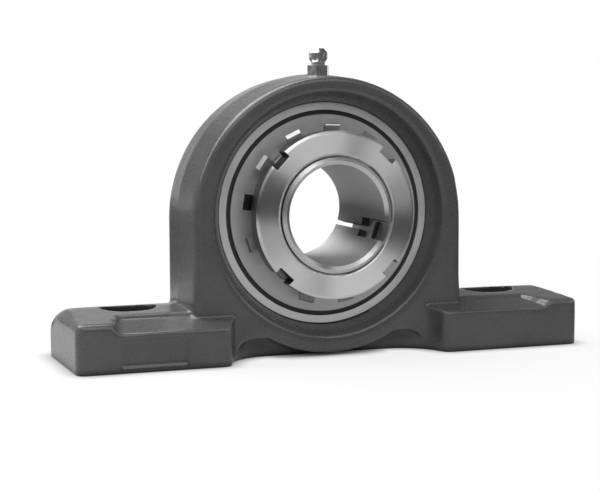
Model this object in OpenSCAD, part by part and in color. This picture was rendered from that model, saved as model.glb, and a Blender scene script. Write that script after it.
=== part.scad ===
// Pillow block bearing: a cast housing on two slotted feet, a self-aligning insert ball bearing
// with a tapered bore, and a split adapter sleeve drawn up by a slotted lock nut.
// Millimetres. X runs along the feet, -Y is the front (the lock nut side) and Z is up.
// The origin lies on the base plane, under the middle of the shaft bore.

/* [Housing body] */
// Height of the shaft axis above the base
shaft_h = 49.2; // [47:0.1:60]
// Thickness of the body, front to back
body_t = 36; // [30:0.5:44]
// Wall of the body around the bearing, at the parting line
body_wall = 10.5; // [9:0.25:16]
// Drop of the body's round centre below the shaft axis
body_drop = 2; // [0:0.1:3]
// Draft of the casting from its parting line, in degrees
draft = 3.5; // [1:0.25:5]
// Rounding of the body's front edge
body_edge_r = 2; // [1:0.25:4]
// Rounding of the body's rear edge
body_rear_r = 6; // [1:0.25:8]
// Width of the bevelled mouth on each side of the seat
mouth_w = 2.5; // [1:0.25:4]
// Radial clearance between the seat and the outer ring
seat_gap = 0.05; // [0.02:0.01:0.1]
// Clearance of the loading slots around the outer ring
load_gap = 0.4; // [0.2:0.1:1]

/* [Housing feet] */
// Length over both feet
base_l = 184; // [172:1:210]
// Depth of the feet, front to back
base_w = 54; // [48:1:66]
// Length of each foot
foot_l = 53; // [46:0.5:58]
// Height of the feet at the parting line
foot_h = 18.6; // [17:0.1:22]
// Draft of the feet's tops in front of the parting line, in degrees
foot_draft = 4.5; // [1:0.25:6]
// Draft of the feet's tops behind the parting line, in degrees
foot_rear_draft = 7; // [3:0.25:8]
// Rounding along the front top edges of the feet
foot_edge_r = 2; // [1:0.25:4]
// Rounding along the rear top edges of the feet
foot_rear_edge_r = 4; // [1:0.25:6]
// Rounding over the end of each foot
foot_end_r = 5; // [2:0.5:8]
// Rounding of the front corners of the feet seen from above
foot_corner_r = 3; // [2:0.5:8]
// Rounding of the rear corners of the feet seen from above
foot_rear_r = 12; // [2:0.5:14]
// Rounding of the feet's corners next to the web, seen from above
foot_inner_r = 3; // [1:0.25:5]
// Distance between the bolt slots
bolt_spacing = 137; // [130:0.5:142]
// Width of the bolt slots
slot_w = 17; // [13:0.5:19]
// Length of the bolt slots
slot_l = 20; // [18:0.5:24]
// Length of the stepped front edge along each foot
step_l = 36; // [26:0.5:40]
// Depth of the body's front face in front of the step's back wall
step_inset = 3.5; // [0.5:0.1:5]
// Slant of the step's end, seen from above, in degrees
step_slant = 23; // [15:1:45]
// Lean of the step's end wall, in degrees
step_lean = 30; // [10:1:45]
// Drop at the back of the stepped front edge
step_drop = 1.2; // [0.4:0.1:2]
// Height of the left foot's front face below the stepped edge
step_left_h = 13; // [11:0.1:14.5]
// Height of the right foot's front face below the stepped edge
step_right_h = 14.2; // [11:0.1:14.5]
// Distance of the bare label field from the end of the left foot
label_side = 14.3; // [12:0.1:20]
// Width of the bare label field
label_w = 23.6; // [14:0.1:28]
// Height of the bare label field
label_h = 9.5; // [6:0.5:10]
// Depth of the bare label field
label_d = 0.8; // [0.2:0.1:1.2]

/* [Housing waist] */
// Thickness of the web between the feet
waist_w = 23.2; // [18:0.2:28]
// Rounding from the web into each foot, seen from above
waist_r = 17; // [12:0.5:20]
// Radius of the arched pockets under the body
arch_r = 8.2; // [6:0.1:9.5]
// Land between an arched pocket and its foot
arch_land = 2.8; // [1.5:0.1:4]
// Depth of the arch centres below the base
arch_sink = 0.8; // [0.2:0.1:1.5]
// Gap under the round boss, in front of the web
boss_gap = 1; // [0.5:0.1:2]

/* [Insert bearing] */
// Outside diameter of the bearing
bearing_d = 80; // [77:0.5:84]
// Width of the outer ring
bearing_w = 21; // [20:0.25:23]
// Width of the inner ring
inner_w = 25; // [24:0.25:30]
// Bevel of the inner ring's outer edges
inner_bevel = 0.6; // [0.3:0.1:1]
// Ball diameter
ball_d = 11.9; // [11:0.05:12.4]
// Number of balls
ball_count = 9; // [7:1:9]
// Wall of the outer ring behind the balls
ring_wall = 4.05; // [3.5:0.05:5]
// Radial play between each ball and each raceway
ball_play = 0.08; // [0.04:0.01:0.12]
// Raceway radius over ball radius
conformity = 1.04; // [1.02:0.005:1.08]
// Height of the raceway shoulders over the raceway bottom
shoulder_h = 2.43; // [1.5:0.05:3]
// Sheet thickness of the riveted cage
cage_t = 1; // [0.6:0.1:1.4]
// Radial width of the cage
cage_w = 3.4; // [2.6:0.1:4]
// Gap between the balls and the cage pockets
pocket_gap = 0.2; // [0.1:0.05:0.4]
// Rivet diameter in the cage
rivet_d = 1.5; // [1:0.1:2]
// Rivet head diameter
rivet_head_d = 2.7; // [2:0.1:3]
// Width of the lubrication groove round the outer ring
groove_w = 3; // [2:0.1:3.4]
// Depth of the lubrication groove
groove_d = 0.8; // [0.4:0.1:1.2]
// Diameter of the lubrication holes
lube_hole_d = 1.8; // [1.2:0.1:2.4]

/* [Seals] */
// Radial lip of the outer ring around the seal seat, at the face
seal_rim = 2.55; // [2:0.05:3]
// Depth of the seal seat
seal_seat_h = 2.6; // [2.2:0.1:3]
// Thickness of the steel seal plate
seal_plate_t = 0.8; // [0.5:0.1:1]
// Thickness of the rubber seal
seal_t = 0.8; // [0.5:0.1:1]
// Clearance between the seal lip and the inner ring
lip_gap = 0.08; // [0.04:0.01:0.1]
// Sheet thickness of the slingers
slinger_t = 0.8; // [0.5:0.1:1]
// Set-back of a slinger's hub from the inner ring's face
slinger_setback = 0.3; // [0.1:0.1:0.6]
// Running gap between a slinger and its seal
slinger_gap = 0.3; // [0.2:0.05:0.5]
// Radial gap around a slinger's rim
slinger_rim_gap = 1.6; // [1:0.1:2.5]

/* [Adapter sleeve] */
// Shaft diameter
shaft_d = 35; // [32:0.5:36]
// Thread diameter of the sleeve and nut
thread_d = 40; // [39:0.25:41.5]
// Length of the sleeve
sleeve_l = 45; // [40:0.5:50]
// Length of sleeve that stands proud of the nut
sleeve_proud = 1.5; // [0.5:0.25:3]
// Taper of the sleeve on diameter, one part in this many
taper = 12; // [10:1:16]
// Bevel at the sleeve's ends
sleeve_bevel = 1.2; // [0.6:0.1:1.6]
// Width of the sleeve's long split
split_w = 1.8; // [1:0.1:3]
// Width of the sleeve's slot for the washer tongue
tongue_slot_w = 7; // [5:0.25:9]
// Length of that slot
tongue_slot_l = 20.6; // [16:0.2:24]
// Direction of the split, counter-clockwise from +X seen from the front
split_angle = -19.5; // [-180:0.5:180]

/* [Lock nut and washer] */
// Outside diameter of the lock nut
nut_d = 58; // [55:0.5:62]
// Thickness of the lock nut
nut_t = 9; // [7:0.25:12]
// Bevel angle behind the nut, in degrees
nut_back_bevel = 30; // [26:1:35]
// Bevel of the nut's front rim
nut_bevel = 0.8; // [0.4:0.1:1.5]
// Bevel of the nut's threaded bore
nut_bore_bevel = 1.2; // [0.4:0.1:1.5]
// Width of the nut slots
nut_slot_w = 6.4; // [5:0.2:8]
// Depth of the nut slots
nut_slot_h = 2.5; // [2:0.1:3]
// Direction of the slot that holds the bent tab
nut_angle = 226.8; // [0:0.1:360]
// Turn of the bent tab against the middle of its slot, in degrees
tab_turn = -0.6; // [-0.8:0.1:0.8]
// Thickness of the lock washer
washer_t = 1.25; // [0.8:0.05:1.5]
// Diameter of the washer's ring
washer_ring_d = 51.2; // [50:0.2:54]
// Diameter over the washer's tabs
washer_d = 62; // [60:0.5:66]
// Number of tabs round the washer
tab_count = 13; // [9:1:15]
// Width of the washer tabs
tab_w = 5.4; // [4:0.1:6]
// Margin between the nut's face, the tabs' bend and the washer's rim
tab_root = 0.3; // [0.2:0.05:0.6]
// Lean of the free tabs towards the nut, in degrees
tab_lean = 20; // [5:1:24]
// Reach of the bent tab along the nut slot
tab_reach = 4.5; // [2:0.25:6]
// Gap on each side of the washer's tongue
tongue_gap = 0.5; // [0.2:0.1:1]
// Clearance around the sleeve's thread inside the washer
washer_gap = 0.15; // [0.1:0.05:0.3]
// Clearance of threads and tabs
fit_gap = 0.05; // [0.02:0.01:0.1]

/* [Grease nipple] */
// Distance of the nipple in front of the parting line
nipple_front = 5; // [4:0.25:6]
// Depth and margin of the flat spot under the nipple
nipple_spot = 0.4; // [0.2:0.1:0.8]
// Thread diameter of the nipple
nipple_thread_d = 6; // [5:0.5:7]
// Length of the nipple's thread
nipple_thread_l = 5.4; // [4.5:0.1:6]
// Hexagon size across flats
nipple_hex = 7; // [7:0.5:9]
// Height of the hexagon
nipple_hex_h = 3.6; // [2.5:0.1:5]
// Neck diameter
nipple_neck_d = 4.9; // [4.4:0.1:5.4]
// Head diameter
nipple_head_d = 6.6; // [6:0.1:7]
// Height of the nipple above its seat
nipple_h = 9.5; // [8.5:0.25:12]
// Diameter of the valve ball
valve_d = 2.4; // [2:0.1:2.8]
// Play of the valve ball in its bore
valve_play = 0.1; // [0.05:0.01:0.2]
// Height of the neck between hexagon and head
nipple_neck_h = 1.2; // [0.8:0.1:2]
// Height of the cone under the head
nipple_cone_h = 1.3; // [0.8:0.1:2]
// Height of the cone on the head
nipple_tip_h = 1.5; // [1:0.1:2]
// Diameter of the flat tip
nipple_tip_d = 3.9; // [3:0.1:5]
// Depth of the valve ball's seat below the tip
nipple_seat_h = 2.4; // [2:0.1:3]
// Diameter of the grease inlet
inlet_d = 1.6; // [1.2:0.1:1.8]
// Diameter of the grease passage to the seat
passage_d = 3; // [2:0.1:3.4]
// Height of the crimp that carries the valve spring
crimp_h = 0.5; // [0.3:0.1:0.8]
// Wire diameter of the valve spring
spring_wire = 0.35; // [0.25:0.05:0.45]
// Turns of the valve spring
spring_turns = 4; // [3:1:6]

/* [Hidden] */
$fn = 96;
BALLS = [for (i = [1:ball_count]) str("ball_", i)];

// A cut runs this far past the surface it opens
cut_past = 1;

// Housing: radii about the shaft axis, and heights above the base
bearing_r = bearing_d / 2;
seat_r = bearing_r + seat_gap;
body_r = bearing_r + body_wall;
body_z = shaft_h - body_drop;
body_half_t = body_t / 2;
mouth_r = bearing_r + mouth_w;
ring_face = bearing_w / 2;
base_half_l = base_l / 2;
base_half_w = base_w / 2;
foot_in = base_half_l - foot_l;
boss_r = body_z - boss_gap;
arch_x = foot_in - arch_land - arch_r;
arch_top = arch_r - arch_sink;
waist_turn_y = waist_w / 2 + waist_r;
step_back_y = body_half_t - step_inset;

// Bearing: radii, and distances along the axis from the middle towards the front
ball_r = ball_d / 2;
pitch_r = bearing_r - ring_wall - ball_r;
race_r = ball_r * conformity;
outer_race_r = pitch_r + ball_r + ball_play;
inner_race_r = pitch_r - ball_r - ball_play;
outer_land_r = outer_race_r - shoulder_h;
inner_land_r = inner_race_r + shoulder_h;
face_r = sqrt(bearing_r * bearing_r - ring_face * ring_face);
seal_seat_r = face_r - seal_rim;
seal_seat_a = ring_face - seal_seat_h;
seal_a = seal_seat_a + seal_plate_t;
slinger_a = seal_a + seal_t + slinger_gap;
slinger_r = seal_seat_r - slinger_rim_gap;
inner_face = inner_w / 2;
cage_in_r = pitch_r - cage_w / 2;
cage_out_r = pitch_r + cage_w / 2;
pocket_r = ball_r + pocket_gap;
race_half_w = sqrt(race_r * race_r - pow(race_r - shoulder_h, 2));
groove_a = (seal_seat_a + race_half_w) / 2;

// Sleeve, washer and nut along the axis
washer_a = inner_face;
nut_a = washer_a + washer_t;
nut_front = nut_a + nut_t;
sleeve_front = nut_front + sleeve_proud;
sleeve_back = sleeve_front - sleeve_l;
thread_r = thread_d / 2;
shaft_r = shaft_d / 2;
nut_r = nut_d / 2;
washer_ring_r = washer_ring_d / 2;
tab_bend_r = washer_ring_r - tab_root;
nut_face_r = tab_bend_r - tab_root;
washer_in_r = thread_r + washer_gap;

// Nipple heights above the base
nipple_top_slope = nipple_front * tan(draft);
nipple_z = body_z + body_r - nipple_top_slope - nipple_spot;
nipple_spot_r = nipple_hex / sqrt(3) + nipple_spot;
valve_r = valve_d / 2;
valve_bore_r = valve_r + valve_play;
valve_z = nipple_z + nipple_h - nipple_seat_h;
valve_drop = valve_r / 4;
crimp_z = nipple_z - nipple_thread_l;
spring_bottom = crimp_z + crimp_h;
spring_top = valve_z - valve_drop - valve_r - fit_gap;
spring_r = valve_bore_r - fit_gap - spring_wire / 2;

// Points of an arc about a centre, from one angle to another
function arc(centre, r, from, to, steps = 8) =
    [for (i = [0:steps]) let (a = from + (to - from) * i / steps) centre + r * [cos(a), sin(a)]];

// Radius of the taper at a distance along the axis
function taper_r(a) = thread_r + (inner_face - a) / (2 * taper);

// Moves what was drawn about Z onto the shaft axis, with +Z turned to the front
module on_shaft() {
    translate([0, 0, shaft_h])
        rotate([90, 0, 0])
            children();
}

// A ring turned about Z between two radii and two distances
module ring(r_in, r_out, a_from, a_to) {
    translate([0, 0, a_from])
        difference() {
            cylinder(h = a_to - a_from, r = r_out);
            translate([0, 0, -cut_past])
                cylinder(h = a_to - a_from + 2 * cut_past, r = r_in);
        }
}

// Puts a child at each ball's place
module at_balls() {
    for (i = [0:ball_count - 1])
        rotate(90 + i * 360 / ball_count)
            translate([pitch_r, 0, 0])
                children();
}

// Both feet: the child is drawn for the right foot and mirrored for the left
module both_feet() {
    children();
    mirror([1, 0, 0]) children();
}

// A rounded edge of the body's section, from its drafted flank to its face
function body_edge(r) =
    arc([body_r - (r + (body_half_t - r) * sin(draft)) / cos(draft), body_half_t - r], r, draft, 90);

// The body's flank, rear to front: distance from the axis, and distance in front of the parting line
body_front = body_edge(body_edge_r);
body_rear = body_edge(body_rear_r);
body_flank = concat(
    [for (i = [len(body_rear) - 1:-1:0]) [body_rear[i][0], -body_rear[i][1]]],
    [[body_r, 0]],
    body_front);
body_half = concat([[0, -body_half_t]], body_flank, [[0, body_half_t]]);
body_plan = concat(
    [for (p = body_flank) [p[0], -p[1]]],
    [for (i = [len(body_flank) - 1:-1:0]) -body_flank[i]]);

// A rounded top edge of the feet, from the upright face to the drafted top
function foot_edge(slope, r) =
    arc([base_half_w - r, foot_h - (r + (base_half_w - r) * sin(slope)) / cos(slope)], r, 0, 90 - slope);

// Section of the feet, front to back, with drafted tops
foot_front = foot_edge(foot_draft, foot_edge_r);
foot_section = concat(
    [[-base_half_w, 0], [base_half_w, 0]],
    foot_edge(foot_rear_draft, foot_rear_edge_r),
    [[0, foot_h]],
    [for (i = [len(foot_front) - 1:-1:0]) [-foot_front[i][0], foot_front[i][1]]]);

// Space between the feet on the front side, seen from above
module waist_plan() {
    out_y = max(base_half_w, waist_turn_y) + cut_past;
    flat_x = foot_in - waist_r;
    translate([-flat_x, -out_y])
        square([2 * flat_x, out_y - waist_w / 2]);
    translate([-foot_in, -out_y])
        square([2 * foot_in, out_y - waist_turn_y]);
    for (side = [0, 1])
        mirror([side, 0]) {
            translate([flat_x, -waist_turn_y])
                circle(r = waist_r);
            foot_inner_corner(flat_x, out_y);
        }
}

// What is cut from a foot's corner to round it into the wall along the web
module foot_inner_corner(flat_x, out_y) {
    turn_y = max(waist_turn_y, base_half_w - foot_inner_r);
    reach = waist_r + foot_inner_r;
    across = turn_y - base_half_w + foot_inner_r;
    along = sqrt(reach * reach - across * across);
    centre = [flat_x + along, foot_inner_r - base_half_w];
    touch = [flat_x + along * waist_r / reach, across * waist_r / reach - turn_y];
    difference() {
        polygon([touch, centre, [centre[0], -out_y], [flat_x, -out_y]]);
        translate(centre)
            circle(r = foot_inner_r);
    }
}

module waist_cut(height) {
    for (turn = [0, 180])
        rotate(turn)
            translate([0, 0, -cut_past])
                linear_extrude(height + cut_past)
                    waist_plan();
}

// Rear half of the feet's outline seen from above, with rounded corners
module foot_half_plan(r) {
    inset_x = base_half_l - r;
    inset_y = base_half_w - r;
    translate([-inset_x, 0])
        square([2 * inset_x, base_half_w]);
    translate([-base_half_l, 0])
        square([base_l, inset_y]);
    for (side = [-1, 1])
        translate([side * inset_x, inset_y])
            circle(r = r);
}

module foot_plan() {
    foot_half_plan(foot_rear_r);
    mirror([0, 1]) foot_half_plan(foot_corner_r);
}

// End outline of the feet, with the ends rounded over
module foot_side() {
    inset_x = base_half_l - foot_end_r;
    translate([-base_half_l, 0])
        square([base_l, foot_h - foot_end_r]);
    translate([-inset_x, 0])
        square([2 * inset_x, foot_h]);
    for (side = [-1, 1])
        translate([side * inset_x, foot_h - foot_end_r])
            circle(r = foot_end_r);
}

module feet() {
    difference() {
        intersection() {
            rotate([90, 0, 90])
                linear_extrude(base_l + 2 * cut_past, center = true)
                    polygon(foot_section);
            rotate([90, 0, 0])
                linear_extrude(base_w + 2 * cut_past, center = true)
                    foot_side();
            linear_extrude(foot_h + cut_past)
                foot_plan();
        }
        waist_cut(foot_h + cut_past);
        step_cut(step_right_h);
        mirror([1, 0, 0]) step_cut(step_left_h);
        label_cut();
    }
}

// Outline of the arched pockets under the body, seen from the front
module arch_outline() {
    for (side = [-1, 1])
        translate([side * arch_x, -arch_sink])
            circle(r = arch_r);
    difference() {
        translate([-arch_x, -cut_past])
            square([2 * arch_x, arch_top + cut_past]);
        translate([0, body_z])
            circle(r = boss_r);
    }
}

module body() {
    translate([0, 0, body_z])
        rotate([90, 0, 0])
            rotate_extrude(angle = 180)
                polygon(body_half);
    difference() {
        linear_extrude(body_z)
            polygon(body_plan);
        intersection() {
            rotate([90, 0, 0])
                linear_extrude(body_t + 2 * cut_past, center = true)
                    arch_outline();
            waist_cut(arch_top + cut_past);
        }
    }
}

// Spherical seat, its bevelled mouths and the rear loading slots, drawn about Z
module seat_cut() {
    mouth_in = sqrt(seat_r * seat_r - ring_face * ring_face);
    slope = (mouth_r - mouth_in) / (body_half_t - ring_face);
    mouth_l = body_half_t - ring_face + 2 * cut_past;
    sphere(r = seat_r);
    for (side = [0, 1])
        mirror([0, 0, side])
            translate([0, 0, ring_face - cut_past])
                cylinder(h = mouth_l, r1 = mouth_in - slope * cut_past, r2 = mouth_r + slope * cut_past);
    intersection() {
        translate([0, 0, -body_half_t - cut_past])
            cylinder(h = body_half_t + cut_past, r = bearing_r + load_gap);
        cube([2 * body_r, bearing_w + 2 * load_gap, body_t + 4 * cut_past], center = true);
    }
}

module bolt_slot() {
    run = (slot_l - slot_w) / 2;
    translate([bolt_spacing / 2, 0, -cut_past])
        linear_extrude(foot_h + 2 * cut_past) {
            square([2 * run, slot_w], center = true);
            for (side = [-1, 1])
                translate([side * run, 0])
                    circle(d = slot_w);
        }
}

// Stepped front edge of a foot, drawn for the right one, down to a height at the front face
module step_cut(front_h) {
    back_z = foot_h - step_back_y * tan(foot_draft) - step_drop;
    fall = (back_z - front_h) / (base_half_w - step_back_y);
    front_y = base_half_w + cut_past;
    top_z = foot_h + cut_past;
    intersection() {
        rotate([90, 0, 90])
            linear_extrude(base_half_l)
                polygon([[-step_back_y, top_z], [-step_back_y, back_z],
                         [-front_y, front_h - fall * cut_past], [-front_y, top_z]]);
        translate([foot_in + step_l, -step_back_y, back_z])
            rotate([0, step_lean, step_slant])
                translate([-base_l, -base_l, -base_l])
                    cube([base_l, 2 * base_l, 2 * base_l]);
    }
}

module label_cut() {
    translate([label_side - base_half_l, -base_half_w - cut_past, (step_left_h - label_h) / 2])
        cube([label_w, label_d + cut_past, label_h]);
}

module nipple_cut() {
    translate([0, -nipple_front, 0]) {
        translate([0, 0, nipple_z])
            cylinder(h = nipple_h, r = nipple_spot_r);
        translate([0, 0, nipple_z - nipple_thread_l - cut_past])
            cylinder(h = nipple_thread_l + 2 * cut_past, r = nipple_thread_d / 2 + fit_gap);
        translate([0, 0, shaft_h])
            cylinder(h = nipple_z - shaft_h - nipple_thread_l, d = passage_d);
    }
}

module housing() {
    color("dimgray")
        difference() {
            union() {
                feet();
                body();
            }
            on_shaft() seat_cut();
            both_feet() bolt_slot();
            nipple_cut();
        }
}

module grease_nipple_body() {
    hex_r = nipple_hex / sqrt(3);
    neck_z = nipple_hex_h + nipple_neck_h;
    head_z = neck_z + nipple_cone_h;
    head_top = nipple_h - nipple_tip_h;
    color("gainsboro")
        translate([0, -nipple_front, nipple_z])
            difference() {
                union() {
                    cylinder(h = nipple_hex_h, r = hex_r, $fn = 6);
                    rotate_extrude()
                        polygon([[0, -nipple_thread_l], [nipple_thread_d / 2, -nipple_thread_l],
                                 [nipple_thread_d / 2, cut_past], [nipple_neck_d / 2, cut_past],
                                 [nipple_neck_d / 2, neck_z], [nipple_head_d / 2, head_z],
                                 [nipple_head_d / 2, head_top], [nipple_tip_d / 2, nipple_h], [0, nipple_h]]);
                }
                cylinder(h = nipple_h + cut_past, d = inlet_d);
                translate([0, 0, valve_z - nipple_z])
                    cylinder(h = valve_r + fit_gap, r1 = valve_bore_r, r2 = inlet_d / 4);
                translate([0, 0, spring_bottom - nipple_z])
                    cylinder(h = valve_z - spring_bottom, r = valve_bore_r);
                translate([0, 0, -nipple_thread_l - cut_past])
                    cylinder(h = crimp_h + 2 * cut_past, d = inlet_d);
            }
}

module grease_nipple_ball() {
    color("silver")
        translate([0, -nipple_front, valve_z - valve_drop])
            sphere(r = valve_r);
}

// Coil swept from rings of points along a helix
module grease_nipple_spring() {
    sides = 8;
    rings = spring_turns * 12;
    rise = spring_top - spring_bottom - spring_wire;
    points = [for (i = [0:rings]) let (turn = 360 * spring_turns * i / rings)
        for (k = [0:sides - 1]) let (a = 360 * k / sides, r = spring_r + spring_wire / 2 * cos(a))
            [r * cos(turn), r * sin(turn), rise * i / rings + spring_wire / 2 * (1 + sin(a))]];
    walls = [for (i = [0:rings - 1]) for (k = [0:sides - 1])
        let (n = (k + 1) % sides, low = i * sides, high = low + sides)
            each [[low + k, high + k, high + n], [low + k, high + n, low + n]]];
    caps = [[for (k = [0:sides - 1]) k], [for (k = [sides - 1:-1:0]) rings * sides + k]];
    color("gray")
        translate([0, -nipple_front, spring_bottom])
            polyhedron(points, concat(walls, caps));
}

module raceway(centre_r) {
    rotate_extrude()
        translate([centre_r, 0])
            circle(r = race_r);
}

module outer_ring() {
    color("silver")
        on_shaft()
            difference() {
                intersection() {
                    sphere(r = bearing_r);
                    cylinder(h = bearing_w, r = bearing_r, center = true);
                }
                cylinder(h = bearing_w + cut_past, r = outer_land_r, center = true);
                for (side = [0, 1])
                    mirror([0, 0, side])
                        translate([0, 0, seal_seat_a])
                            cylinder(h = seal_seat_h + cut_past, r = seal_seat_r);
                raceway(outer_race_r - race_r);
                ring(bearing_r - groove_d, bearing_r + cut_past, groove_a - groove_w / 2,
                     groove_a + groove_w / 2);
                for (turn = [0, 180])
                    rotate(turn)
                        translate([0, 0, groove_a])
                            rotate([0, 90, 0])
                                cylinder(h = bearing_r, d = lube_hole_d);
            }
}

module inner_ring() {
    color("silver")
        on_shaft()
            difference() {
                rotate_extrude()
                    polygon([[taper_r(-inner_face) + fit_gap, -inner_face],
                             [inner_land_r - inner_bevel, -inner_face],
                             [inner_land_r, -inner_face + inner_bevel],
                             [inner_land_r, inner_face - inner_bevel],
                             [inner_land_r - inner_bevel, inner_face],
                             [taper_r(inner_face) + fit_gap, inner_face]]);
                raceway(inner_race_r + race_r);
            }
}

module ball() {
    color("whitesmoke")
        translate([pitch_r, 0, 0])
            sphere(r = ball_r);
}

// One half of the riveted cage: a flat ribbon with a cup over each ball
module cage_half() {
    color("darkgray")
        difference() {
            union() {
                ring(cage_in_r, cage_out_r, 0, cage_t);
                at_balls()
                    intersection() {
                        sphere(r = pocket_r + cage_t);
                        translate([-cage_w / 2, -pitch_r, 0])
                            cube([cage_w, 2 * pitch_r, pitch_r]);
                    }
            }
            at_balls()
                sphere(r = pocket_r);
            rotate(180 / ball_count)
                at_balls()
                    cylinder(h = 4 * cage_t, d = rivet_d, center = true);
        }
}

module cage_front() {
    on_shaft() cage_half();
}

module cage_rear() {
    on_shaft() mirror([0, 0, 1]) cage_half();
}

module cage_rivets() {
    head_h = rivet_d / 3;
    color("silver")
        on_shaft()
            rotate(180 / ball_count)
                at_balls() {
                    cylinder(h = 2 * cage_t, d = rivet_d, center = true);
                    for (side = [0, 1])
                        mirror([0, 0, side])
                            translate([0, 0, cage_t])
                                cylinder(h = head_h, d1 = rivet_head_d, d2 = rivet_d);
                }
}

module seal_plate() {
    color("lightslategray")
        ring(inner_land_r + seal_t, seal_seat_r, seal_seat_a, seal_a);
}

// Rubber disc bonded to the plate, with a lip that turns in towards the inner ring
module seal() {
    lip_r = inner_land_r + lip_gap;
    color("black")
        rotate_extrude()
            polygon([[lip_r, seal_a - seal_plate_t], [lip_r + seal_t - lip_gap, seal_a - seal_plate_t],
                     [lip_r + seal_t - lip_gap, seal_a], [seal_seat_r, seal_a],
                     [seal_seat_r, seal_a + seal_t], [lip_r, seal_a + seal_t]]);
}

// Pressed disc with a short hub on the inner ring
module slinger() {
    hub_end = inner_face - slinger_setback;
    color("darkgray")
        rotate_extrude()
            polygon([[inner_land_r, slinger_a], [slinger_r, slinger_a],
                     [slinger_r, slinger_a + slinger_t],
                     [inner_land_r + slinger_t, slinger_a + slinger_t],
                     [inner_land_r + slinger_t, hub_end], [inner_land_r, hub_end]]);
}

module seal_plate_front() {
    on_shaft() seal_plate();
}

module seal_plate_rear() {
    on_shaft() mirror([0, 0, 1]) seal_plate();
}

module seal_front() {
    on_shaft() seal();
}

module seal_rear() {
    on_shaft() mirror([0, 0, 1]) seal();
}

module slinger_front() {
    on_shaft() slinger();
}

module slinger_rear() {
    on_shaft() mirror([0, 0, 1]) slinger();
}

module adapter_sleeve() {
    back_r = taper_r(sleeve_back);
    color("silver")
        on_shaft()
            difference() {
                rotate_extrude()
                    polygon([[shaft_r + sleeve_bevel, sleeve_back], [back_r - sleeve_bevel / 2, sleeve_back],
                             [back_r, sleeve_back + sleeve_bevel / 2],
                             [taper_r(inner_face), inner_face],
                             [thread_r, sleeve_front - sleeve_bevel],
                             [thread_r - sleeve_bevel, sleeve_front],
                             [shaft_r + sleeve_bevel, sleeve_front],
                             [shaft_r, sleeve_front - sleeve_bevel],
                             [shaft_r, sleeve_back + sleeve_bevel]]);
                rotate(split_angle) {
                    translate([0, -split_w / 2, sleeve_back - cut_past])
                        cube([nut_r, split_w, sleeve_l + 2 * cut_past]);
                    translate([0, -tongue_slot_w / 2, sleeve_front - tongue_slot_l])
                        cube([nut_r, tongue_slot_w, tongue_slot_l + cut_past]);
                }
            }
}

// A free tab, leaning towards the nut from the edge of the washer's ring
module washer_tab() {
    root = (1 - cos(tab_lean)) / sin(tab_lean) * washer_t;
    reach = (washer_d / 2 - tab_bend_r) / cos(tab_lean);
    translate([tab_bend_r, 0, nut_a])
        rotate([0, -tab_lean, 0])
            translate([-root, -tab_w / 2, -washer_t])
                cube([root + reach, tab_w, washer_t]);
}

// The tab that is bent forward into a nut slot
module locking_tab() {
    floor_r = nut_r - nut_slot_h + 2 * fit_gap;
    root_r = washer_ring_r - washer_t;
    translate([root_r, -tab_w / 2, washer_a])
        cube([floor_r + washer_t - root_r, tab_w, washer_t]);
    translate([floor_r, -tab_w / 2, washer_a])
        cube([washer_t, tab_w, washer_t + tab_reach]);
}

module lock_washer() {
    tongue_in = (shaft_r + thread_r) / 2;
    tongue_w = tongue_slot_w - 2 * tongue_gap;
    color("gainsboro")
        on_shaft() {
            ring(washer_in_r, washer_ring_r, washer_a, washer_a + washer_t);
            for (i = [1:tab_count - 1])
                rotate(nut_angle + tab_turn + i * 360 / tab_count)
                    washer_tab();
            rotate(nut_angle + tab_turn) locking_tab();
            rotate(split_angle)
                translate([tongue_in, -tongue_w / 2, washer_a])
                    cube([washer_in_r + washer_t - tongue_in, tongue_w, washer_t]);
        }
}

module lock_nut() {
    bore_r = thread_r + fit_gap;
    back_fall = (nut_r - nut_face_r) * tan(nut_back_bevel);
    color("silver")
        on_shaft()
            difference() {
                rotate_extrude()
                    polygon([[bore_r + nut_bore_bevel, nut_a], [nut_face_r, nut_a],
                             [nut_r, nut_a + back_fall], [nut_r, nut_front - nut_bevel],
                             [nut_r - nut_bevel, nut_front], [bore_r + nut_bore_bevel, nut_front],
                             [bore_r, nut_front - nut_bore_bevel], [bore_r, nut_a + nut_bore_bevel]]);
                for (i = [0:3])
                    rotate(nut_angle + 90 * i)
                        translate([nut_r - nut_slot_h, -nut_slot_w / 2, nut_a - cut_past])
                            cube([nut_slot_h + cut_past, nut_slot_w, nut_t + 2 * cut_past]);
            }
}

housing();
grease_nipple_body();
grease_nipple_ball();
grease_nipple_spring();
outer_ring();
inner_ring();
cage_front();
cage_rear();
cage_rivets();
seal_plate_front();
seal_plate_rear();
seal_front();
seal_rear();
slinger_front();
slinger_rear();
adapter_sleeve();
lock_washer();
lock_nut();
for (i = [1:ball_count])
    on_shaft() rotate(90 + (i - 1) * 360 / ball_count) ball();
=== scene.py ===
"""Dresses the pillow block bearing: a painted casting, turned and pressed steel, rubber seals and a studio set."""

import math

import bmesh
import bpy
import numpy as np
from mathutils import Matrix, Vector


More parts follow.
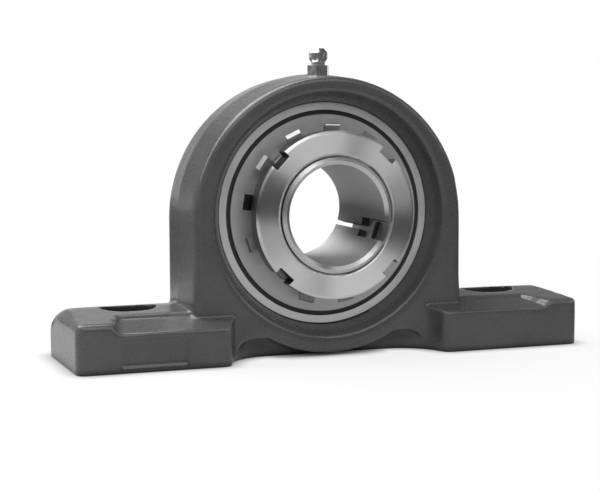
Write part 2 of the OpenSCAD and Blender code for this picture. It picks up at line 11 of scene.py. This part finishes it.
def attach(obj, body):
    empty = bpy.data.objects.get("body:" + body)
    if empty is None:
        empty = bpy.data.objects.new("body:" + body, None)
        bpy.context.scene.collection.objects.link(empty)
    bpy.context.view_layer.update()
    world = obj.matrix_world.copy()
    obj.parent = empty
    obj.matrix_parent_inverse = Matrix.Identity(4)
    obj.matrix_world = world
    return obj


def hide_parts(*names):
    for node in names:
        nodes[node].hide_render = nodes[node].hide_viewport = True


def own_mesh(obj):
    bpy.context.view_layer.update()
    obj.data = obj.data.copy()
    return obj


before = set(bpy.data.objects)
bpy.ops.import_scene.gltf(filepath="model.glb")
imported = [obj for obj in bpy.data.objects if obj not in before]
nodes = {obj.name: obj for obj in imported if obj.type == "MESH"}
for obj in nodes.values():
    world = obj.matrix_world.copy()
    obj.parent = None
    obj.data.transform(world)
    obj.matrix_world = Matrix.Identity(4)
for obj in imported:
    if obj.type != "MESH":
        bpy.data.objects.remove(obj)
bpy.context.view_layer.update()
MM = 0.001

# Places in the shared frame, in metres: X along the feet, -Y to the front, Z up from the base
SHAFT_Z = 49.2 * MM
SEAT_R = 40.05 * MM
MOUTH_R = 42.5 * MM
TAB_TIP_R = 29.6 * MM
FOOT_H = 18.6 * MM
FRONT_DRAFT = math.radians(4.5)
REAR_DRAFT = math.radians(7)
REAR_TURN = (80 * MM, 15 * MM)
REAR_TURN_R = 12 * MM
REAR_ROLL_R = 7.5 * MM
FRONT_Y = -18 * MM
BOLT_X = 68.5 * MM
SLOT_R = 8.5 * MM
SLOT_RUN = 1.5 * MM

# Where a finish changes, for painted shade and painted light too: radii about the shaft axis, the sleeve's length
# before the nut, the side on which the groove between nut and sleeve shows and is painted lighter, and the front of
# the tab that is bent into the nut, which is painted darker
SLEEVE_BEVEL_R = 18.9 * MM
THREAD_R = 20.3 * MM
NUT_CHAMFER_R = 22 * MM
NUT_SLOT_R = 26.2 * MM
NUT_SIDE_R = 28.6 * MM
SLEEVE_NOSE = 3 * MM
GROOVE_WAY = math.radians(165)
GROOVE_BACK = -8 * MM
BENT_TAB_Y = -16.3 * MM

# Y of the normal of a face that counts as a side wall, as a bevel or as lying flat
SIDE_Y = 0.3
BEVEL_Y = (0.4, 0.9)
FLAT_Y = 0.925
# How far a face that looks straight to or from the shaft axis does so
STRAIGHT = 0.9

# Edges broken on the turned pieces
EDGE_BREAK = 0.2 * MM
EDGE_SEGMENTS = 3
EDGE_ANGLE = math.radians(25)

# Camera at the photograph's viewing angle
VIEW_YAW = math.radians(20.13)
VIEW_PITCH = math.radians(5.53)
VIEW_ROLL = math.radians(-0.27)
VIEW_TARGET = Vector((-5.27, 0, 37.04)) * MM
VIEW_DISTANCE = 558 * MM
VIEW_LENS = 94.15

# Light on the set: the room's level on the bearing, and what its surfaces mirror: the dark side behind the camera,
# the backdrop and a painted pool of light on the table, which glows only in reflections
ROOM_LIGHT = 0.2
ROOM_DARK = 0.08
ROOM_BACK = 1.0
TABLE_LIT = (-0.17, -0.1, 0)
TABLE_LIT_R = 0.28


# Nodes of a material

def node(tree, kind, inputs=None, **settings):
    """A node with its settings, whose inputs are values or another node's output."""
    made = tree.nodes.new(kind)
    for name, value in settings.items():
        setattr(made, name, value)
    for name, value in (inputs or {}).items():
        if isinstance(value, bpy.types.NodeSocket):
            tree.links.new(value, made.inputs[name])
        else:
            made.inputs[name].default_value = value
    return made


def ramp(tree, factor, *stops):
    """A colour ramp on a factor, from (place, grey or colour) pairs."""
    made = node(tree, "ShaderNodeValToRGB", {"Fac": factor})
    elements = made.color_ramp.elements
    while len(elements) < len(stops):
        elements.new(1)
    for element, (place, colour) in zip(elements, stops):
        element.position = place
        element.color = (*colour, 1) if isinstance(colour, tuple) else (colour, colour, colour, 1)
    return made.outputs["Color"]


def noise(tree, scale, detail, roughness=0.5):
    """Noise in the object's own metres: scale is in features to the metre."""
    place = node(tree, "ShaderNodeTexCoord").outputs["Object"]
    return node(tree, "ShaderNodeTexNoise", {"Vector": place, "Scale": scale, "Detail": detail,
                                             "Roughness": roughness}).outputs["Fac"]


def carried(tree, value, low, high, at_low, at_high, how="LINEAR"):
    """A value carried from one range to another and held at its ends."""
    return node(tree, "ShaderNodeMapRange", {"Value": value, "From Min": low, "From Max": high, "To Min": at_low,
                                             "To Max": at_high}, interpolation_type=how).outputs["Result"]


def mixed(tree, share, first, second):
    """Two colours mixed by the second one's share."""
    return node(tree, "ShaderNodeMix", {"Factor": share, "A": first, "B": second},
                data_type="RGBA").outputs["Result"]


def bump(tree, height, distance, strength, normal=None):
    made = node(tree, "ShaderNodeBump", {"Height": height, "Distance": distance, "Strength": strength})
    if normal is not None:
        tree.links.new(normal, made.inputs["Normal"])
    return made.outputs["Normal"]


def new_material(name, **values):
    """A material with its shader's constants set on the shader itself."""
    made = bpy.data.materials.new(name)
    made.use_nodes = True
    shader = made.node_tree.nodes["Principled BSDF"]
    for socket, value in values.items():
        shader.inputs[socket.replace("_", " ")].default_value = value
    return made, made.node_tree, shader


def axis_radius(tree):
    """Distance from the shaft axis, in metres."""
    place = node(tree, "ShaderNodeTexCoord").outputs["Object"]
    around = node(tree, "ShaderNodeVectorMath", {0: place, 1: (0, 0, SHAFT_Z)}, operation="SUBTRACT")
    flat = node(tree, "ShaderNodeVectorMath", {0: around.outputs["Vector"], 1: (1, 0, 1)}, operation="MULTIPLY")
    return node(tree, "ShaderNodeVectorMath", {0: flat.outputs["Vector"]}, operation="LENGTH").outputs["Value"]


def painted_casting():
    """Grey paint, rubbed lighter at the edges of the feet as wear and as a painted highlight, darkened at the base as
    painted contact shade, and missing in the bored seat.
    """
    rubbed_and_highlit_grey = (0.22, 0.22, 0.222, 1)
    iron_grey = (0.1, 0.1, 0.1, 1)
    base_painted_shade = (0.006, 0.006, 0.006, 1)
    made, tree, shader = new_material("painted_casting", Specular_IOR_Level=0.4)
    lumps = noise(tree, 160, 2)
    grain = noise(tree, 1400, 4, 0.65)
    shade = noise(tree, 45, 5, 0.6)
    edge = node(tree, "ShaderNodeNewGeometry").outputs["Pointiness"]
    place = node(tree, "ShaderNodeTexCoord").outputs["Object"]
    height = node(tree, "ShaderNodeSeparateXYZ", {"Vector": place}).outputs["Z"]
    paint = ramp(tree, shade, (0.3, (0.056, 0.056, 0.057)), (0.7, (0.072, 0.072, 0.073)))
    # The feet's edges below about 20 mm are lightened: partly rubbed paint, partly a painted highlight along those
    # edges
    wear_and_highlight = carried(tree, height, 20 * MM, 24 * MM, 0.7, 0.15)
    worn_and_highlit = node(tree, "ShaderNodeMath", {0: ramp(tree, edge, (0.51, 0.0), (0.6, 1.0)), 1: wear_and_highlight}, operation="MULTIPLY")
    colour = mixed(tree, worn_and_highlit.outputs["Value"], paint, rubbed_and_highlit_grey)
    bare = carried(tree, axis_radius(tree), 40.2 * MM, 41 * MM, 1.0, 0.0)
    colour = mixed(tree, bare, colour, iron_grey)
    # Painted contact shade: the paint goes near black towards the base, over its lowest 2.2 mm
    free_of_base_shade = carried(tree, height, 0.5 * MM, 2.2 * MM, 0.2, 1.0)
    colour = mixed(tree, free_of_base_shade, base_painted_shade, colour)
    tree.links.new(colour, shader.inputs["Base Color"])
    tree.links.new(ramp(tree, grain, (0.3, 0.25), (0.75, 0.33)), shader.inputs["Roughness"])
    rough = bump(tree, lumps, 0.25 * MM, 0.5)
    tree.links.new(bump(tree, grain, 0.05 * MM, 0.12, rough), shader.inputs["Normal"])
    return made


def painted_light_and_shade(name, grey):
    """A dull coat of one grey, put on as painted shade in hollows and as painted light in the groove between nut and
    sleeve.
    """
    made, tree, shader = new_material(name)
    shade = noise(tree, 300, 4, 0.6)
    tree.links.new(ramp(tree, shade, (0.3, 0.7 * grey), (0.7, grey)), shader.inputs["Base Color"])
    tree.links.new(ramp(tree, shade, (0.3, 0.55), (0.7, 0.7)), shader.inputs["Roughness"])
    tree.links.new(bump(tree, shade, 0.1 * MM, 0.4), shader.inputs["Normal"])
    return made


def turned_steel(name, grey, roughness, anisotropic):
    """Steel turned about the shaft axis, whose fine tool marks draw its highlights out into radial fans."""
    made, tree, shader = new_material(name, Metallic=1.0, Anisotropic=anisotropic, Anisotropic_Rotation=0.25)
    marks_to_metre = 9000
    marks = node(tree, "ShaderNodeTexNoise", {"W": axis_radius(tree), "Scale": marks_to_metre, "Detail": 3.0},
                 noise_dimensions="1D")
    smear = noise(tree, 90, 4, 0.6)
    tree.links.new(ramp(tree, smear, (0.3, grey * 0.92), (0.7, grey)), shader.inputs["Base Color"])
    tree.links.new(ramp(tree, smear, (0.25, roughness), (0.75, roughness + 0.1)), shader.inputs["Roughness"])
    tree.links.new(bump(tree, marks.outputs["Fac"], 0.02 * MM, 0.35), shader.inputs["Normal"])
    around = node(tree, "ShaderNodeTangent", direction_type="RADIAL", axis="Y")
    tree.links.new(around.outputs["Tangent"], shader.inputs["Tangent"])
    return made


def pressed_steel(name, grey, roughness):
    """Pressed sheet, with a soft even surface and faint scuffs."""
    made, tree, shader = new_material(name, Metallic=1.0)
    scuff = noise(tree, 350, 5, 0.7)
    tree.links.new(ramp(tree, scuff, (0.3, grey * 0.85), (0.7, grey)), shader.inputs["Base Color"])
    tree.links.new(ramp(tree, scuff, (0.3, roughness), (0.7, roughness + 0.12)), shader.inputs["Roughness"])
    tree.links.new(bump(tree, scuff, 0.03 * MM, 0.2), shader.inputs["Normal"])
    return made


def rubber():
    made, tree, shader = new_material("seal_rubber")
    bloom = noise(tree, 500, 4, 0.6)
    tree.links.new(ramp(tree, bloom, (0.3, 0.010), (0.7, 0.018)), shader.inputs["Base Color"])
    tree.links.new(ramp(tree, bloom, (0.3, 0.5), (0.7, 0.7)), shader.inputs["Roughness"])
    tree.links.new(bump(tree, bloom, 0.03 * MM, 0.3), shader.inputs["Normal"])
    return made


def dress(piece, material):
    piece.data.materials.clear()
    piece.data.materials.append(material)
    return piece


def off_axis(place):
    return math.hypot(place.x, place.z - SHAFT_Z)


def outward(place, way):
    """How far a face looks away from the shaft axis, from -1 to 1."""
    return (way.x * place.x + way.z * (place.z - SHAFT_Z)) / off_axis(place)


def dress_where(piece, material, chosen):
    """A second finish on the faces that are chosen by their middle and their normal."""
    piece.data.materials.append(material)
    index = len(piece.data.materials) - 1
    for face in piece.data.polygons:
        if chosen(face.center, face.normal):
            face.material_index = index


def is_side(way):
    return abs(way.y) < SIDE_Y


def by_groove(place):
    """On the side of the nut and sleeve where the groove between them shows, which is painted lighter as painted
    light.
    """
    return place.x * math.cos(GROOVE_WAY) + (place.z - SHAFT_Z) * math.sin(GROOVE_WAY) > GROOVE_BACK


def in_slot(place, way):
    """On a bolt slot's wall."""
    from_middle = math.hypot(max(abs(abs(place.x) - BOLT_X) - SLOT_RUN, 0), place.y)
    return from_middle < SLOT_R + 0.25 * MM and abs(way.z) < 0.6


def in_step_end(place, way):
    """On the inner end of the right foot's step."""
    return (74 * MM < place.x < 86 * MM and -22.5 * MM < place.y < -19.3 * MM and place.z > 14.5 * MM
            and way.x < -0.35)


def in_pocket(place, way):
    """In the arched pockets under the body."""
    return abs(place.x) < 53 * MM and abs(place.y) < 11.2 * MM and place.z < 14 * MM


def on_left_tab(place, way):
    """On the front of the washer tab that lies in shadow at the left."""
    return place.x < -25 * MM and abs(place.z - SHAFT_Z - 4 * MM) < 5 * MM and way.y < 0


# Pieces

def take_place(piece, name, body):
    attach(piece, body)
    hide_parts(name)
    return piece


def apply_modifiers(piece):
    """Keeps the piece's mesh as its modifiers leave it."""
    bpy.context.view_layer.update()
    seen = piece.evaluated_get(bpy.context.evaluated_depsgraph_get())
    made = bpy.data.meshes.new_from_object(seen)
    piece.modifiers.clear()
    piece.data = made


def copy_of(name, new_name):
    piece = bpy.data.objects.new(new_name, nodes[name].data.copy())
    bpy.context.scene.collection.objects.link(piece)
    return piece


def join_faces(piece):
    """Joins a piece's faces where they meet."""
    shape = bmesh.new()
    shape.from_mesh(piece.data)
    bmesh.ops.remove_doubles(shape, verts=shape.verts, dist=0.001 * MM)
    shape.to_mesh(piece.data)
    shape.free()


def vertices_of(piece):
    places = np.empty(len(piece.data.vertices) * 3)
    piece.data.vertices.foreach_get("co", places)
    return places.reshape(-1, 3)


def near(distance, inside, outside):
    """1 up to one distance, falling to 0 at the other."""
    return np.clip((distance - outside) / (inside - outside), 0, 1)


def soften(piece, name, weights, rounds):
    """Smooths a piece by a weight for each of its vertices."""
    group = piece.vertex_groups.new(name=name)
    steps = weights.round(1)
    for weight in np.unique(steps[steps > 0]):
        group.add(np.flatnonzero(steps == weight).tolist(), float(weight), "REPLACE")
    smooth = piece.modifiers.new(name, "SMOOTH")
    smooth.factor = 0.5
    smooth.iterations = rounds
    smooth.vertex_group = group.name


def rolled(places, radius):
    """The feet's rear corners rolled over, by a radius for each place."""
    across, along, up = abs(places[:, 0]), places[:, 1], places[:, 2]
    to_corner = np.stack([np.maximum(across - REAR_TURN[0], 0), np.maximum(along - REAR_TURN[1], 0)], axis=1)
    out = np.linalg.norm(to_corner, axis=1)
    inside = REAR_TURN_R - out
    below = FOOT_H - np.maximum(along, 0) * math.tan(REAR_DRAFT) - up
    short = np.stack([radius - inside, radius - below], axis=1)
    reach = np.linalg.norm(short, axis=1)
    over = (short > 0).all(axis=1) & (reach > radius) & (radius > 0.5 * MM) & (out > 0)
    pull = np.where(over, 1 - radius / np.maximum(reach, 1e-9), 0)
    way = to_corner / np.maximum(out, 1e-9)[:, None]
    moved = places.copy()
    moved[:, 0] -= np.sign(places[:, 0]) * way[:, 0] * short[:, 0] * pull
    moved[:, 1] -= way[:, 1] * short[:, 0] * pull
    moved[:, 2] -= short[:, 1] * pull
    return moved


def slots_trued(places):
    """The bolt slots' walls and upper rims back on their true surfaces."""
    across, along, up = abs(places[:, 0]), places[:, 1], places[:, 2]
    ahead = np.sign(across - BOLT_X) * np.maximum(abs(across - BOLT_X) - SLOT_RUN, 0)
    reach = np.maximum(np.hypot(ahead, along), 1e-9)
    top = foot_top(along)
    by_wall = abs(reach - SLOT_R) < 0.45 * MM
    on_rim = by_wall & (abs(top - up) < 0.5 * MM)
    grow = SLOT_R / reach
    moved = places.copy()
    moved[by_wall, 0] = (np.sign(places[:, 0]) * (across - ahead + ahead * grow))[by_wall]
    moved[by_wall, 1] = (along * grow)[by_wall]
    moved[on_rim, 2] = top[on_rim]
    return moved


def foot_top(along):
    """Height of the feet's sloping tops at a place along Y."""
    return (FOOT_H - np.maximum(along, 0) * math.tan(REAR_DRAFT)
            - np.maximum(-along, 0) * math.tan(FRONT_DRAFT))


def casting():
    """The housing with the soft corners and fillets of a casting, a rounded front rim and a crisp bored seat."""
    voxel = 0.55 * MM
    most_triangles = 180000
    seat_growth = 0.15 * MM
    foot_start = 53 * MM
    crease_x = 54 * MM
    step_end_x = 77 * MM
    piece = copy_of("housing", "housing_casting")
    places = vertices_of(piece)
    from_seat = places - (0, 0, SHAFT_Z)
    reach = np.linalg.norm(from_seat, axis=1)
    on_seat = abs(reach - SEAT_R) < 0.02 * MM
    from_seat[on_seat] *= (SEAT_R + seat_growth) / SEAT_R
    places[on_seat] = from_seat[on_seat] + (0, 0, SHAFT_Z)
    piece.data.vertices.foreach_set("co", places.ravel())
    remesh = piece.modifiers.new("Remesh", "REMESH")
    remesh.mode = "VOXEL"
    remesh.voxel_size = voxel
    apply_modifiers(piece)

    # Weights for softening: the seat, the bolt slots and the steps' walls stay crisp
    places = vertices_of(piece)
    across, along, up = abs(places[:, 0]), places[:, 1], places[:, 2]
    from_mouth = np.hypot(across, up - SHAFT_Z) - MOUTH_R
    from_slot = abs(np.hypot(np.maximum(abs(across - BOLT_X) - SLOT_RUN, 0), along) - SLOT_R)
    step_wall = near(abs(along - FRONT_Y), 1 * MM, 2 * MM) * (across >= foot_start) * near(up, 15 * MM, 14 * MM)
    cast = near(from_mouth, 1.8 * MM, 0.3 * MM)
    cast *= (1 - 0.95 * near(from_slot, 0.3 * MM, 1.2 * MM)) * (1 - 0.7 * step_wall)
    crease = near(abs(across - crease_x), 2 * MM, 5 * MM) * near(up, 17 * MM, 16 * MM) * near(up, 20 * MM, 24 * MM)
    step_end = (near(abs(across - step_end_x), 3 * MM, 6 * MM) * near(along, -18 * MM, -16 * MM)
                * near(up, 13 * MM, 11 * MM))
    side = (near(abs(along - FRONT_Y), 3 * MM, 6 * MM) * near(across, 48 * MM, 47 * MM)
            * near(up, 60 * MM, 72 * MM) * near(up, 26 * MM, 21 * MM))
    rim = near(abs(from_mouth), 1.5 * MM, 3.5 * MM) * near(along, -15 * MM, -13 * MM)
    soften(piece, "cast_surface", cast, 10)
    soften(piece, "soft_corners", cast * np.maximum(0.3 * np.maximum(crease, step_end), side), 60)
    soften(piece, "soft_rim", rim, 40)
    roll = REAR_ROLL_R * near(along, 12 * MM, -8 * MM) * near(across, 82 * MM, 70 * MM)
    piece.data.vertices.foreach_set("co", rolled(slots_trued(places), roll).ravel())
    fewer = piece.modifiers.new("Decimate", "DECIMATE")
    fewer.ratio = most_triangles / (2 * len(piece.data.polygons))
    apply_modifiers(piece)
    piece.vertex_groups.clear()
    piece.data.shade_smooth()
    return take_place(piece, "housing", "housing")


def edged(name, new_name, body):
    """A node with its sharp edges broken."""
    piece = copy_of(name, new_name)
    join_faces(piece)
    bevel = piece.modifiers.new("Bevel", "BEVEL")
    bevel.width = EDGE_BREAK
    bevel.segments = EDGE_SEGMENTS
    bevel.limit_method = "ANGLE"
    bevel.angle_limit = EDGE_ANGLE
    bevel.harden_normals = True
    apply_modifiers(piece)
    return take_place(piece, name, body)


def lock_washer():
    """The washer, its upper tabs bevelled across their tips where a punch bent them."""
    tip_bevels = ((87.7, 0.35 * MM), (115.4, 1.0 * MM), (143.1, 1.1 * MM))
    shortest_tip = 2 * MM
    piece = copy_of("lock_washer", "lock_washer_pressed")
    join_faces(piece)
    shape = bmesh.new()
    shape.from_mesh(piece.data)
    shape.normal_update()
    for angle, width in tip_bevels:
        out = Vector((math.cos(math.radians(angle)), 0, math.sin(math.radians(angle))))
        tips = [edge for edge in shape.edges if edge.calc_length() > shortest_tip
                and all((end.co - Vector((0, 0, SHAFT_Z))).dot(out) > TAB_TIP_R for end in edge.verts)
                and any(face.normal.y < -0.7 for face in edge.link_faces)]
        bmesh.ops.bevel(shape, geom=tips, offset=width, segments=1, affect="EDGES", profile=0.5)
    shape.to_mesh(piece.data)
    shape.free()
    return take_place(piece, "lock_washer", "rotor")


def valve_spring():
    """The nipple's spring, on a mesh of its own. The real spring shortens from its upper end as the ball is pushed
    in.
    """
    name = "grease_nipple_spring"
    piece = take_place(copy_of(name, "grease_nipple_spring_wound"), name, "housing")
    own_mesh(piece)
    return piece


# Studio

def camera():
    sight = bpy.data.cameras.new("camera")
    sight.lens = VIEW_LENS
    sight.sensor_width = 36
    sight.clip_start = 0.01
    eye = bpy.data.objects.new("camera", sight)
    bpy.context.scene.collection.objects.link(eye)
    level = math.cos(VIEW_PITCH)
    back = Vector((-math.sin(VIEW_YAW) * level, -math.cos(VIEW_YAW) * level, math.sin(VIEW_PITCH)))
    right = Vector((0, 0, 1)).cross(back).normalized()
    up = back.cross(right)
    turn = Matrix((right, up, back)).transposed().to_4x4()
    eye.matrix_world = (Matrix.Translation(VIEW_TARGET + back * VIEW_DISTANCE) @ turn
                        @ Matrix.Rotation(VIEW_ROLL, 4, "Z"))
    bpy.context.scene.camera = eye


def seen_ray(path, tree):
    """1 for the rays that show the set: camera, glossy and transmission."""
    some = node(tree, "ShaderNodeMath", {0: path["Is Camera Ray"], 1: path["Is Glossy Ray"]}, operation="MAXIMUM")
    return node(tree, "ShaderNodeMath", {0: some.outputs["Value"], 1: path["Is Transmission Ray"]},
                operation="MAXIMUM").outputs["Value"]


def between(tree, value, low, high, at_low, at_high):
    """A value carried smoothly from one range to another."""
    return carried(tree, value, low, high, at_low, at_high, "SMOOTHSTEP")


def either(tree, choice, no, yes):
    """One of two values, by a choice of 0 or 1."""
    return carried(tree, choice, 0, 1, no, yes)


def room(scene):
    """A white room, in which metal mirrors a dark side behind the camera and a backdrop that is bright low down."""
    world = bpy.data.worlds.new("studio")
    scene.world = world
    world.use_nodes = True
    tree = world.node_tree
    path = node(tree, "ShaderNodeLightPath").outputs
    way = node(tree, "ShaderNodeTexCoord").outputs["Generated"]
    part = node(tree, "ShaderNodeSeparateXYZ", {"Vector": way}).outputs
    left = between(tree, part["Z"], 0.0, 0.1, ROOM_BACK, ROOM_DARK)
    low = either(tree, between(tree, part["X"], -0.3, -0.1, 0, 1), left,
                 between(tree, part["Z"], 0.1, 0.3, ROOM_BACK, ROOM_DARK))
    high = between(tree, part["Z"], 0.22, 0.47, ROOM_BACK, ROOM_DARK)
    middle = between(tree, part["X"], 0.3, 0.45, between(tree, part["X"], 0.0, 0.15, 0, 1), 0)
    backdrop = either(tree, middle, low, high)
    mirrored = between(tree, part["Y"], 0.1, 0.6, ROOM_DARK, backdrop)
    shown = either(tree, path["Is Glossy Ray"], 1.0, mirrored)
    level = either(tree, seen_ray(path, tree), ROOM_LIGHT, shown)
    back = tree.nodes["Background"]
    back.inputs["Color"].default_value = (1, 1, 1, 1)
    tree.links.new(level, back.inputs["Strength"])


def table(scene):
    """A white table top that keeps the shadow close to the bearing and runs into the white room. Near the bearing its
    glow is darkened as a painted contact shadow, and in reflections it shows a painted pool of light.
    """
    size = 6.0
    corners = [(-size, -size, 0), (size, -size, 0), (size, size, 0), (-size, size, 0)]
    mesh = bpy.data.meshes.new("floor")
    mesh.from_pydata(corners, [], [(0, 1, 2, 3)])
    floor = bpy.data.objects.new("floor", mesh)
    floor.location.z = -0.05 * MM
    scene.collection.objects.link(floor)
    paper = bpy.data.materials.new("white_paper")
    paper.use_nodes = True
    tree = paper.node_tree
    path = node(tree, "ShaderNodeLightPath").outputs
    place = node(tree, "ShaderNodeTexCoord").outputs["Object"]
    away = node(tree, "ShaderNodeVectorMath", {0: place}, operation="LENGTH").outputs["Value"]
    from_lit = node(tree, "ShaderNodeVectorMath", {0: place, 1: TABLE_LIT}, operation="DISTANCE").outputs["Value"]
    # Painted pool of light: in reflections the table glows bright only round TABLE_LIT, and dark elsewhere
    mirrored = between(tree, from_lit, TABLE_LIT_R, 1.15 * TABLE_LIT_R, 1.0, ROOM_DARK)
    level = either(tree, path["Is Glossy Ray"], 1.0, mirrored)
    share = node(tree, "ShaderNodeMath", {0: seen_ray(path, tree), 1: between(tree, away, 0.1, 0.35, 0.8, 1.0)},
                 operation="MULTIPLY").outputs["Value"]
    matt = node(tree, "ShaderNodeBsdfDiffuse", {"Color": (0.55, 0.55, 0.55, 1)})
    # Painted contact shadow: the glow darkens by ambient occlusion within 6 mm of the bearing
    painted_contact_shadow = node(tree, "ShaderNodeAmbientOcclusion", {"Distance": 6 * MM}, samples=8).outputs["AO"]
    glow = node(tree, "ShaderNodeMath", {0: level, 1: painted_contact_shadow}, operation="MULTIPLY").outputs["Value"]
    bright = node(tree, "ShaderNodeEmission", {"Strength": glow})
    both = node(tree, "ShaderNodeMixShader", {"Fac": share, 1: matt.outputs["BSDF"], 2: bright.outputs["Emission"]})
    tree.links.new(both.outputs["Shader"], tree.nodes["Material Output"].inputs["Surface"])
    mesh.materials.append(paper)


def lamp(name, place, size, power):
    """A soft rectangular lamp that faces the bearing."""
    light = bpy.data.lights.new(name, "AREA")
    light.shape = "RECTANGLE"
    light.size, light.size_y = size
    light.energy = power
    made = bpy.data.objects.new(name, light)
    made.location = place
    aim = Vector((0, 0, SHAFT_Z)) - made.location
    made.rotation_euler = aim.to_track_quat("-Z", "Y").to_euler()
    bpy.context.scene.collection.objects.link(made)


bpy.context.scene.view_settings.view_transform = "Standard"
camera()
room(bpy.context.scene)
table(bpy.context.scene)
lamp("top_softbox", (-0.28, 0.3, 0.85), (0.9, 0.9), 16.0)
lamp("key_softbox", (-0.05, -0.7, 0.7), (1.1, 0.4), 4.6)
lamp("right_softbox", (0.75, -0.5, 0.45), (0.4, 0.4), 1.2)
lamp("left_softbox", (-0.8, 0.25, 0.5), (0.5, 0.4), 2.2)

steel_face = turned_steel("turned_steel", 0.72, 0.37, 1.0)
ring_face = turned_steel("ground_ring_steel", 0.72, 0.5, 0.3)
bore_face = turned_steel("bored_steel", 0.37, 0.5, 0.9)
# A near-black copy of the turned steel, used as painted shade on the nut, sleeve and washer
painted_shade_steel = turned_steel("steel_in_painted_shade", 0.08, 0.4, 0.2)
# A darker grey copy of the turned steel, used as painted shade on the nut's outer side and the bent washer tab
painted_shade_side_steel = turned_steel("nut_side_in_painted_shade", 0.22, 0.4, 0.3)
bevel_steel = turned_steel("sleeve_bevel_steel", 0.5, 0.4, 0.3)
bright_edge = turned_steel("bevelled_steel", 0.75, 0.35, 0.3)
sheet = pressed_steel("slinger_sheet", 0.54, 0.55)
bright_sheet = pressed_steel("washer_sheet", 0.4, 0.26)
plated = pressed_steel("nipple_plating", 0.75, 0.2)
cage_sheet = pressed_steel("cage_sheet", 0.5, 0.3)
black = rubber()
# A pale dull coat, used as painted light in the groove between nut and sleeve on one side
painted_light_groove = painted_light_and_shade("groove_steel_painted_light", 0.75)

housing = dress(casting(), painted_casting())
# Painted shade: the bolt slots' walls get a near-black dull coat
dress_where(housing, painted_light_and_shade("slot_painted_shade", 0.014), in_slot)
# Painted shade: the arched pockets under the body get a near-black dull coat
dress_where(housing, painted_light_and_shade("pocket_painted_shade", 0.02), in_pocket)
# Painted shade: the inner end of the right foot's step gets a dark dull coat
dress_where(housing, painted_light_and_shade("step_end_painted_shade", 0.04), in_step_end)
nut = dress(edged("lock_nut", "lock_nut_turned", "rotor"), steel_face)
# Painted shade: the nut's outer side and the outer part of its slot walls get a darker grey steel
dress_where(nut, painted_shade_side_steel, lambda place, way: is_side(way) and off_axis(place) > NUT_SLOT_R)
# Painted shade: side walls inside the nut's rim on its left half get a near-black steel
dress_where(nut, painted_shade_steel, lambda place, way: is_side(way) and off_axis(place) < NUT_SIDE_R and place.x < 0)
dress_where(nut, bevel_steel, lambda place, way: is_side(way) and off_axis(place) < THREAD_R)
dress_where(nut, bright_edge, lambda place, way: (
    BEVEL_Y[0] < abs(way.y) < BEVEL_Y[1] and off_axis(place) < NUT_CHAMFER_R))
# Painted light: the nut's bore chamfer gets a pale dull coat on one side
dress_where(nut, painted_light_groove, lambda place, way: (
    abs(way.y) < BEVEL_Y[1] and off_axis(place) < NUT_CHAMFER_R and by_groove(place)))

sleeve = dress(take_place(copy_of("adapter_sleeve", "adapter_sleeve_turned"), "adapter_sleeve", "rotor"), steel_face)
nose_end = min(corner.co.y for corner in sleeve.data.vertices) + SLEEVE_NOSE
dress_where(sleeve, bore_face, lambda place, way: outward(place, way) < -STRAIGHT)
dress_where(sleeve, bevel_steel, lambda place, way: off_axis(place) > SLEEVE_BEVEL_R and abs(way.y) > SIDE_Y)
# Painted shade: the sleeve's side walls and all of it deeper than its nose get a near-black steel
dress_where(sleeve, painted_shade_steel, lambda place, way: (
    outward(place, way) > -STRAIGHT and (is_side(way) or place.y > nose_end)))
dress_where(sleeve, bevel_steel, lambda place, way: outward(place, way) > STRAIGHT and place.y < nose_end)
# Painted light: the sleeve's outer wall before the nut gets a pale dull coat on one side
dress_where(sleeve, painted_light_groove, lambda place, way: (
    outward(place, way) > STRAIGHT and place.y < nose_end and by_groove(place)))

washer = dress(lock_washer(), bright_sheet)
dress_where(washer, sheet, lambda place, way: abs(way.y) > FLAT_Y)
# Painted shade: the washer's inner edge and tongue and the tab at the left get a near-black steel
dress_where(washer, painted_shade_steel, lambda place, way: off_axis(place) < THREAD_R or on_left_tab(place, way))
# Painted shade: the tab bent into the nut gets a darker grey steel
dress_where(washer, painted_shade_side_steel, lambda place, way: place.y < BENT_TAB_Y and off_axis(place) > THREAD_R)

dress(edged("outer_ring", "outer_ring_ground", "insert"), ring_face)
dress(valve_spring(), plated)

for name, material in (("grease_nipple_body", plated), ("grease_nipple_ball", plated), ("inner_ring", ring_face),
                       ("cage_front", cage_sheet), ("cage_rear", cage_sheet), ("cage_rivets", cage_sheet),
                       ("slinger_front", sheet), ("slinger_rear", sheet),
                       ("seal_plate_front", sheet), ("seal_plate_rear", sheet), ("seal_front", black),
                       ("seal_rear", black), *((f"ball_{i}", plated) for i in range(1, 10))):
    dress(nodes[name], material)
